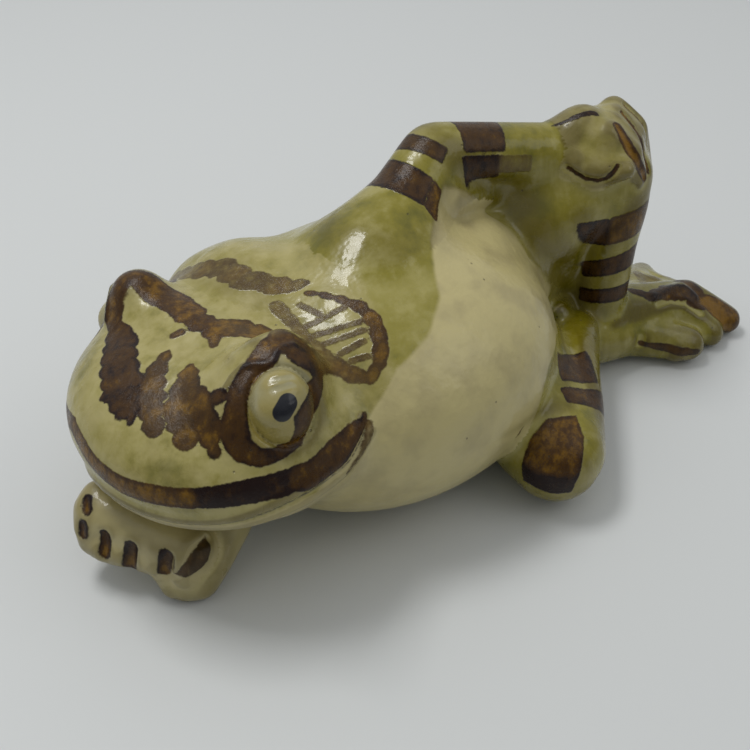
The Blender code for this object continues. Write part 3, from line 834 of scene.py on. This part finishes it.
class Shader:
    """Short names for building a node tree. A value may be a number, a colour or a socket."""

    def __init__(self, name):
        self.material = bpy.data.materials.new(name)
        self.material.use_nodes = True
        self.tree = self.material.node_tree
        self.surface = self.tree.nodes["Principled BSDF"]
        self.place = self.tree.nodes.new("ShaderNodeTexCoord").outputs["Object"]

    def put(self, socket, value):
        if isinstance(value, bpy.types.NodeSocket):
            self.tree.links.new(value, socket)
        else:
            socket.default_value = value

    def math(self, operation, a, b=0.0, c=0.0, clamp=False):
        node = self.tree.nodes.new("ShaderNodeMath")
        node.operation, node.use_clamp = operation, clamp
        for socket, value in zip(node.inputs, (a, b, c)):
            self.put(socket, value)
        return node.outputs[0]

    def add(self, a, b):
        return self.math("ADD", a, b)

    def times(self, a, b):
        return self.math("MULTIPLY", a, b)

    def ramp(self, value, start, stop, low=0.0, high=1.0, smooth=True):
        node = self.tree.nodes.new("ShaderNodeMapRange")
        node.interpolation_type = "SMOOTHSTEP" if smooth else "LINEAR"
        for socket, item in zip(node.inputs, (value, start, stop, low, high)):
            self.put(socket, item)
        return node.outputs[0]

    def paint(self, name):
        node = self.tree.nodes.new("ShaderNodeAttribute")
        node.attribute_name = name
        return node.outputs["Fac"]

    def noise(self, size, detail=3.0, stretch=(1, 1, 1), roughness=0.55, seed=0.0):
        """Noise between 0 and 1 whose lumps are about this many millimetres across."""
        mapping = self.tree.nodes.new("ShaderNodeMapping")
        self.put(mapping.inputs["Vector"], self.place)
        mapping.inputs["Location"].default_value = (seed, seed * 0.7, seed * 1.3)
        mapping.inputs["Scale"].default_value = [MM / size / s for s in stretch]
        node = self.tree.nodes.new("ShaderNodeTexNoise")
        self.put(node.inputs["Vector"], mapping.outputs[0])
        node.inputs["Scale"].default_value = 1.0
        node.inputs["Detail"].default_value = detail
        node.inputs["Roughness"].default_value = roughness
        return node.outputs["Fac"]

    def specks(self, size, share):
        """1 in sparse round specks of about this size, 0 elsewhere."""
        mapping = self.tree.nodes.new("ShaderNodeMapping")
        self.put(mapping.inputs["Vector"], self.place)
        mapping.inputs["Scale"].default_value = [MM / size] * 3
        cells = self.tree.nodes.new("ShaderNodeTexVoronoi")
        self.put(cells.inputs["Vector"], mapping.outputs[0])
        cells.inputs["Scale"].default_value = 1.0
        chosen = self.tree.nodes.new("ShaderNodeSeparateColor")
        self.put(chosen.inputs[0], cells.outputs["Color"])
        rare = self.math("LESS_THAN", chosen.outputs[0], share)
        return self.times(rare, self.ramp(cells.outputs["Distance"], 0.035, 0.08, 1, 0))

    def blend(self, a, b, factor, mode="MIX"):
        node = self.tree.nodes.new("ShaderNodeMix")
        node.data_type, node.blend_type = "RGBA", mode
        self.put(node.inputs["Factor"], factor)
        self.put(node.inputs[6], a)
        self.put(node.inputs[7], b)
        return node.outputs[2]

    def bump(self, height, distance, before=None):
        node = self.tree.nodes.new("ShaderNodeBump")
        node.inputs["Distance"].default_value = distance / MM
        self.put(node.inputs["Height"], height)
        if before is not None:
            self.put(node.inputs["Normal"], before)
        return node.outputs[0]


def rgb(red, green, blue):
    """A colour given as on a screen, 0 to 255."""
    def linear(v):
        v /= 255
        return v / 12.92 if v < 0.04045 else ((v + 0.055) / 1.055) ** 2.4
    return (linear(red), linear(green), linear(blue), 1)


GREEN = rgb(130, 121, 28)
GREEN_PALE = rgb(158, 149, 84)
GREEN_DEEP = rgb(102, 98, 14)
OLIVE = rgb(88, 76, 6)
CREAM = rgb(186, 174, 122)
CREAM_GREY = rgb(154, 142, 102)
OCHRE = rgb(120, 86, 14)
BROWN = rgb(64, 40, 6)
MAROON = rgb(26, 7, 2)
WASH = rgb(88, 72, 40)
LINE_DARK = rgb(42, 36, 6)
EYE_WHITE_GLAZE = rgb(154, 147, 108)
EYE_CREAM = rgb(150, 136, 72)
PUPIL_BLUE = rgb(14, 17, 26)


def glaze_material(name, pale, shade_grey):
    """Green glaze over a cream body, brown slip and painted eyes, all under a clear gloss."""
    s = Shader(name)
    # the green glaze, mottled and brushed on in vertical streaks
    clouds, blots = s.noise(22, 2), s.noise(6.5, 4, seed=3)
    streaks = s.noise(3.2, 3, (1, 1, 5), seed=5)
    shade = s.add(s.times(clouds, 0.5), s.add(s.times(blots, 0.28), s.times(streaks, 0.22)))
    green = s.blend(GREEN_DEEP, GREEN, s.ramp(shade, 0.36, 0.50))
    green = s.blend(green, GREEN_PALE, s.ramp(s.add(shade, pale), 0.48, 0.64))
    # glaze runs thin on edges and pools, dark, in hollows; the darkening in hollows is partly painted shade
    crease, dent = s.paint("crease"), s.paint("dent")
    green = s.blend(green, GREEN_PALE, s.ramp(crease, 0.02, -0.16, 0, 0.75))
    pooled_and_shaded = s.math("MAXIMUM", s.ramp(crease, 0.015, 0.14, 0, 0.85), s.ramp(dent, 0.05, 0.35, 0, 0.6))
    pooled_and_shaded = s.math("MAXIMUM", pooled_and_shaded, s.times(s.paint("pool_and_shade"), s.ramp(blots, 0.25, 0.6, 0.6, 1)))
    green = s.blend(green, OLIVE, pooled_and_shaded)
    # the bare cream clay with its soft edge, pinholes and faint stains
    cream = s.blend(CREAM, CREAM_GREY, s.ramp(s.noise(14, 3, seed=9), 0.40, 0.70, 0, 0.55))
    # painted shade: the bare cream is greyed, most on the limbs, where the fist lies in the head's shadow
    cream = s.blend(cream, CREAM_GREY, shade_grey)
    # the cream darkens in the same hollows: pooling and painted shade
    cream = s.blend(cream, OLIVE, s.times(pooled_and_shaded, 0.45))
    bare = s.ramp(s.add(s.paint("cream"), s.times(s.add(blots, -0.5), 0.3)), 0.10, 0.62)
    bare = s.times(bare, s.ramp(s.paint("cream"), 0.0, 0.12))
    colour = s.blend(green, cream, bare)
    colour = s.blend(colour, LINE_DARK, s.ramp(s.paint("line"), -0.5, 0.2, 0, 0.85))
    # the eye: cream socket, white ball, dark pupil
    ragged = s.times(s.add(s.noise(0.9, 2, seed=13), -0.5), 0.5)
    colour = s.blend(colour, EYE_CREAM, s.ramp(s.paint("opening"), -0.3, 0.5))
    # painted shade: the white ball turns cream where it lies in a hollow, as under the lid
    eye = s.blend(EYE_WHITE_GLAZE, EYE_CREAM, s.ramp(crease, 0.02, 0.16, 0, 0.8))
    colour = s.blend(colour, eye, s.ramp(s.paint("white"), -0.5, 0.5))
    # the brown slip: ochre where thin, nearly black where thick, with brush marks and a ragged edge
    fray = s.times(s.add(s.noise(1.6, 4, seed=17), -0.5), 0.9)
    slip = s.add(s.add(s.paint("slip"), fray), ragged)
    cover = s.ramp(slip, -0.25, 0.35)
    grain = s.noise(0.7, 4, roughness=0.7, seed=21)
    bristle = s.noise(2.4, 4, (1, 1, 2.2), seed=25)
    patchy = s.add(s.times(s.add(bristle, -0.5), 0.95), s.times(s.add(blots, -0.5), 0.55))
    tone = s.add(s.paint("tone"), patchy)
    tone = s.add(tone, s.add(s.times(s.add(grain, -0.5), 0.40), s.times(s.paint("dab"), -0.13)))
    tone = s.add(tone, s.ramp(slip, 0.1, 1.8, 0.16, -0.10))
    # the slip darkens in hollows: pooling and painted shade
    tone = s.add(tone, s.times(crease, 1.0))
    brown = s.blend(OCHRE, BROWN, s.ramp(tone, 0.06, 0.52))
    brown = s.blend(brown, MAROON, s.ramp(tone, 0.50, 0.92))
    body = s.paint("body")
    brown = s.blend(brown, WASH, s.ramp(body, 0.95, 0.50, 0, 0.8))
    thickness = s.add(body, s.times(s.add(bristle, -0.5), 0.7))
    cover = s.times(cover, s.ramp(thickness, 0.15, 0.75, 0.35, 1))
    colour = s.blend(colour, brown, cover)
    colour = s.blend(colour, PUPIL_BLUE, s.ramp(s.paint("pupil"), -0.15, 0.2))
    # pinholes and iron specks
    pinholes = s.specks(6.0, 0.22)
    colour = s.blend(colour, rgb(60, 48, 26), s.times(pinholes, 0.55))
    s.put(s.surface.inputs["Base Color"], colour)
    # gloss: smooth over the glaze, sugary where the slip is thick
    sugary = s.times(cover, s.ramp(grain, 0.45, 0.62))
    roughness = s.add(s.ramp(s.noise(9, 2, seed=31), 0.3, 0.7, 0.18, 0.32), s.times(sugary, 0.12))
    s.put(s.surface.inputs["Roughness"], s.add(roughness, s.times(bare, 0.10)))
    s.put(s.surface.inputs["Specular IOR Level"], s.ramp(cover, 0, 1, 0.42, 0.20))
    s.put(s.surface.inputs["Coat Weight"], s.ramp(cover, 0, 1, 0.22, 0.13))
    s.surface.inputs["Coat Roughness"].default_value = 0.06
    ripple = s.bump(s.noise(5, 2, seed=37), 0.35)
    skin_of_slip = s.bump(s.add(s.times(cover, 0.2), s.times(s.times(cover, grain), 0.8)), 0.16, ripple)
    s.put(s.surface.inputs["Normal"], s.bump(pinholes, -0.15, skin_of_slip))
    s.put(s.surface.inputs["Coat Normal"], skin_of_slip)
    return s.material


# the numbers are the green's paleness and how far the cream is greyed as painted shade
GLAZES = {"head_glaze": glaze_material("head_glaze", 0.07, 0.15),
          "body_glaze": glaze_material("body_glaze", 0.0, 0.0),
          "limb_glaze": glaze_material("limb_glaze", 0.01, 0.3),
          "eye_glaze": glaze_material("eye_glaze", 0.05, 0.0)}


def slot_of(node):
    if node in EYES:
        return "eye_glaze"
    return {"head_shell": "head_glaze", "torso_shell": "body_glaze"}.get(node, "limb_glaze")


for node in MERGE_ORDER + list(EYES):
    obj = piece(node)
    obj.data.materials.append(GLAZES[slot_of(node)])
    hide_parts(node)
    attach(obj, "root")


# ---------------------------------------------------------------- the table, the light, the camera

def add_table():
    bpy.ops.mesh.primitive_plane_add(size=40, location=(0, 0, 0))
    table = bpy.context.object
    table.name = "table"
    material = bpy.data.materials.new("table")
    material.use_nodes = True
    shader = material.node_tree.nodes["Principled BSDF"]
    shader.inputs["Base Color"].default_value = (0.63, 0.645, 0.64, 1)
    shader.inputs["Roughness"].default_value = 0.6
    table.data.materials.append(material)


def add_area(name, location, target, size, power):
    light = bpy.data.lights.new(name, "AREA")
    light.shape = "RECTANGLE"
    light.size, light.size_y = size
    light.energy = power
    obj = bpy.data.objects.new(name, light)
    bpy.context.scene.collection.objects.link(obj)
    obj.location = location
    obj.rotation_euler = (Vector(target) - Vector(location)).to_track_quat("-Z", "Y").to_euler()


def add_camera():
    target = Vector((-0.0033, 0.03471, 0))
    back = Vector(TO_VIEWER)
    data = bpy.data.cameras.new("camera")
    data.sensor_width = 36
    data.lens = 55.2
    data.clip_start = 0.01
    camera = bpy.data.objects.new("camera", data)
    bpy.context.scene.collection.objects.link(camera)
    camera.location = target + back * 0.445
    camera.rotation_euler = (-back).to_track_quat("-Z", "Y").to_euler()
    bpy.context.scene.camera = camera


def add_world():
    """A pale room to look at, but light that comes from above and behind."""
    world = bpy.data.worlds.new("studio")
    bpy.context.scene.world = world
    world.use_nodes = True
    tree = world.node_tree
    background = tree.nodes["Background"]
    place = tree.nodes.new("ShaderNodeTexCoord").outputs["Generated"]

    def rising(way, low, high, least, most):
        """A strength that grows from least to most as the direction's part along way does."""
        facing = tree.nodes.new("ShaderNodeVectorMath")
        facing.operation = "DOT_PRODUCT"
        facing.inputs[1].default_value = way
        tree.links.new(place, facing.inputs[0])
        amount = tree.nodes.new("ShaderNodeMapRange")
        for socket, value in zip(list(amount.inputs)[1:], (low, high, least, most)):
            socket.default_value = value
        tree.links.new(facing.outputs["Value"], amount.inputs[0])
        return amount.outputs[0]

    seen = tree.nodes.new("ShaderNodeLightPath").outputs["Is Camera Ray"]
    strength = tree.nodes.new("ShaderNodeMix")
    tree.links.new(seen, strength.inputs[0])
    room = rising((-0.6 * TO_VIEWER[0], -0.6 * TO_VIEWER[1], 0.85), -0.5, 0.9, 0.12, 0.64)
    tree.links.new(room, strength.inputs[2])
    tree.links.new(rising((0, 0, 1), 0.0, 0.35, 0.34, 0.57), strength.inputs[3])
    tree.links.new(strength.outputs[0], background.inputs["Strength"])
    background.inputs["Color"].default_value = (0.97, 0.99, 1.0, 1)


add_table()
add_area("window", (-0.22, 0.30, 0.95), (0, 0, 0.04), (0.40, 0.24), 4.0)
add_area("fill", (0.5, -0.6, 0.8), (0, 0, 0.04), (0.6, 0.6), 0.9)
bpy.context.scene.view_settings.view_transform = "Standard"
add_world()
add_camera()
